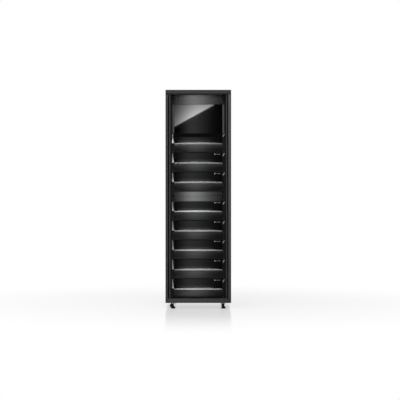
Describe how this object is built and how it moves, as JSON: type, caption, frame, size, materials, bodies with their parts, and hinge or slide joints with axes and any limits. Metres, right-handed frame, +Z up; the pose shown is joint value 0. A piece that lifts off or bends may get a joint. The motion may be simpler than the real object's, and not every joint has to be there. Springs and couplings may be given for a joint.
{
  "type": "storage array",
  "caption": "Tall rack cabinet filled with sliding storage units behind clip-fitted bowed bezels, with filler panels, a plain tall front plate, rear doors, castors and levelling feet.",
  "frame": {"origin": "on the floor, below the middle of the footprint", "axes": "+Z up, front faces -Y, +X to the right seen from the front"},
  "size_m": [0.6, 1.1, 2],
  "materials": {
    "frame_paint": "satin",
    "cladding_paint": "satin",
    "rail_zinc": "satin",
    "panel_grey": "satin",
    "plate_gloss": "gloss",
    "chassis_zinc": "satin",
    "module_plastic": "matte",
    "bezel_black": "gloss",
    "handle_black": "satin",
    "foot_rubber": "satin",
    "wheel_black": "matte"
  },
  "bodies": {
    "cabinet": {"base_frame": "frame_paint", "top_frame": "frame_paint", "post_front_left": "frame_paint", "post_front_right": "frame_paint", "post_rear_left": "frame_paint", "post_rear_right": "frame_paint", "rail_front_left": "rail_zinc", "rail_front_right": "rail_zinc", "rails_rear": "rail_zinc", "side_panel_left": "cladding_paint", "side_panel_right": "cladding_paint", "roof_panel": "cladding_paint", "floor_panel": "cladding_paint", "filler_panel_2u": "panel_grey", "front_plate": "plate_gloss", "filler_panels_1u": "panel_grey", "guide_rails": "rail_zinc", "door_hinges": "frame_paint", "power_strips": "module_plastic", "levelling_feet": "foot_rubber", "foot_lock_nuts": "rail_zinc"},
    "unit_1": {"unit_1_chassis": "chassis_zinc", "unit_1_modules": "module_plastic"},
    "bezel_1": {"unit_1_bezel": "bezel_black"},
    "unit_2": {"unit_2_chassis": "chassis_zinc", "unit_2_modules": "module_plastic"},
    "bezel_2": {"unit_2_bezel": "bezel_black"},
    "unit_3": {"unit_3_chassis": "chassis_zinc", "unit_3_modules": "module_plastic"},
    "bezel_3": {"unit_3_bezel": "bezel_black"},
    "unit_4": {"unit_4_chassis": "chassis_zinc", "unit_4_modules": "module_plastic"},
    "bezel_4": {"unit_4_bezel": "bezel_black"},
    "unit_5": {"unit_5_chassis": "chassis_zinc", "unit_5_modules": "module_plastic"},
    "bezel_5": {"unit_5_bezel": "bezel_black"},
    "unit_6": {"unit_6_chassis": "chassis_zinc", "unit_6_modules": "module_plastic"},
    "bezel_6": {"unit_6_bezel": "bezel_black"},
    "unit_7": {"unit_7_chassis": "chassis_zinc", "unit_7_modules": "module_plastic"},
    "bezel_7": {"unit_7_bezel": "bezel_black"},
    "unit_8": {"unit_8_chassis": "chassis_zinc", "unit_8_modules": "module_plastic"},
    "bezel_8": {"unit_8_bezel": "bezel_black"},
    "rear_door_left": {"rear_door_left": "cladding_paint"},
    "rear_door_right": {"rear_door_right": "cladding_paint"},
    "door_handle": {"rear_door_handle": "handle_black"},
    "castor_fork_front_left": {"castor_fork_front_left": "rail_zinc"},
    "castor_wheel_front_left": {"castor_wheel_front_left": "wheel_black"},
    "castor_fork_front_right": {"castor_fork_front_right": "rail_zinc"},
    "castor_wheel_front_right": {"castor_wheel_front_right": "wheel_black"},
    "castor_fork_rear_left": {"castor_fork_rear_left": "rail_zinc"},
    "castor_wheel_rear_left": {"castor_wheel_rear_left": "wheel_black"},
    "castor_fork_rear_right": {"castor_fork_rear_right": "rail_zinc"},
    "castor_wheel_rear_right": {"castor_wheel_rear_right": "wheel_black"}
  },
  "joints": [
    {"name": "unit_1_slide", "type": "slide", "parent": "cabinet", "child": "unit_1", "axis": [0, -1, 0], "range_m": [0, 0.6]},
    {"name": "bezel_1_pull", "type": "slide", "parent": "unit_1", "child": "bezel_1", "axis": [0, -1, 0], "range_m": [0, 0.08]},
    {"name": "unit_2_slide", "type": "slide", "parent": "cabinet", "child": "unit_2", "axis": [0, -1, 0], "range_m": [0, 0.6]},
    {"name": "bezel_2_pull", "type": "slide", "parent": "unit_2", "child": "bezel_2", "axis": [0, -1, 0], "range_m": [0, 0.08]},
    {"name": "unit_3_slide", "type": "slide", "parent": "cabinet", "child": "unit_3", "axis": [0, -1, 0], "range_m": [0, 0.6]},
    {"name": "bezel_3_pull", "type": "slide", "parent": "unit_3", "child": "bezel_3", "axis": [0, -1, 0], "range_m": [0, 0.08]},
    {"name": "unit_4_slide", "type": "slide", "parent": "cabinet", "child": "unit_4", "axis": [0, -1, 0], "range_m": [0, 0.6]},
    {"name": "bezel_4_pull", "type": "slide", "parent": "unit_4", "child": "bezel_4", "axis": [0, -1, 0], "range_m": [0, 0.08]},
    {"name": "unit_5_slide", "type": "slide", "parent": "cabinet", "child": "unit_5", "axis": [0, -1, 0], "range_m": [0, 0.6]},
    {"name": "bezel_5_pull", "type": "slide", "parent": "unit_5", "child": "bezel_5", "axis": [0, -1, 0], "range_m": [0, 0.08]},
    {"name": "unit_6_slide", "type": "slide", "parent": "cabinet", "child": "unit_6", "axis": [0, -1, 0], "range_m": [0, 0.6]},
    {"name": "bezel_6_pull", "type": "slide", "parent": "unit_6", "child": "bezel_6", "axis": [0, -1, 0], "range_m": [0, 0.08]},
    {"name": "unit_7_slide", "type": "slide", "parent": "cabinet", "child": "unit_7", "axis": [0, -1, 0], "range_m": [0, 0.6]},
    {"name": "bezel_7_pull", "type": "slide", "parent": "unit_7", "child": "bezel_7", "axis": [0, -1, 0], "range_m": [0, 0.08]},
    {"name": "unit_8_slide", "type": "slide", "parent": "cabinet", "child": "unit_8", "axis": [0, -1, 0], "range_m": [0, 0.6]},
    {"name": "bezel_8_pull", "type": "slide", "parent": "unit_8", "child": "bezel_8", "axis": [0, -1, 0], "range_m": [0, 0.08]},
    {"name": "rear_door_left_hinge", "type": "hinge", "parent": "cabinet", "child": "rear_door_left", "pos_m": [-0.292, 0.53125, 1], "axis": [0, 0, 1], "range_deg": [0, 120]},
    {"name": "rear_door_right_hinge", "type": "hinge", "parent": "cabinet", "child": "rear_door_right", "pos_m": [0.292, 0.53125, 1], "axis": [0, 0, -1], "range_deg": [0, 120]},
    {"name": "door_handle_swing", "type": "hinge", "parent": "rear_door_right", "child": "door_handle", "pos_m": [0.021, 0.531, 1], "axis": [0, -1, 0], "range_deg": [0, 90]},
    {"name": "castor_swivel_front_left", "type": "hinge", "parent": "cabinet", "child": "castor_fork_front_left", "pos_m": [-0.23, -0.455, 0.05], "axis": [0, 0, 1], "continuous": true},
    {"name": "castor_roll_front_left", "type": "hinge", "parent": "castor_fork_front_left", "child": "castor_wheel_front_left", "pos_m": [-0.243, -0.455, 0.022], "axis": [0, 1, 0], "continuous": true},
    {"name": "castor_swivel_front_right", "type": "hinge", "parent": "cabinet", "child": "castor_fork_front_right", "pos_m": [0.23, -0.455, 0.05], "axis": [0, 0, 1], "continuous": true},
    {"name": "castor_roll_front_right", "type": "hinge", "parent": "castor_fork_front_right", "child": "castor_wheel_front_right", "pos_m": [0.22664, -0.44244, 0.022], "axis": [0.9659, 0.2588, 0], "continuous": true},
    {"name": "castor_swivel_rear_left", "type": "hinge", "parent": "cabinet", "child": "castor_fork_rear_left", "pos_m": [-0.23, 0.425, 0.05], "axis": [0, 0, 1], "continuous": true},
    {"name": "castor_roll_rear_left", "type": "hinge", "parent": "castor_fork_rear_left", "child": "castor_wheel_rear_left", "pos_m": [-0.23, 0.438, 0.022], "axis": [1, 0, 0], "continuous": true},
    {"name": "castor_swivel_rear_right", "type": "hinge", "parent": "cabinet", "child": "castor_fork_rear_right", "pos_m": [0.23, 0.425, 0.05], "axis": [0, 0, 1], "continuous": true},
    {"name": "castor_roll_rear_right", "type": "hinge", "parent": "castor_fork_rear_right", "child": "castor_wheel_rear_right", "pos_m": [0.23, 0.438, 0.022], "axis": [1, 0, 0], "continuous": true}
  ]
}
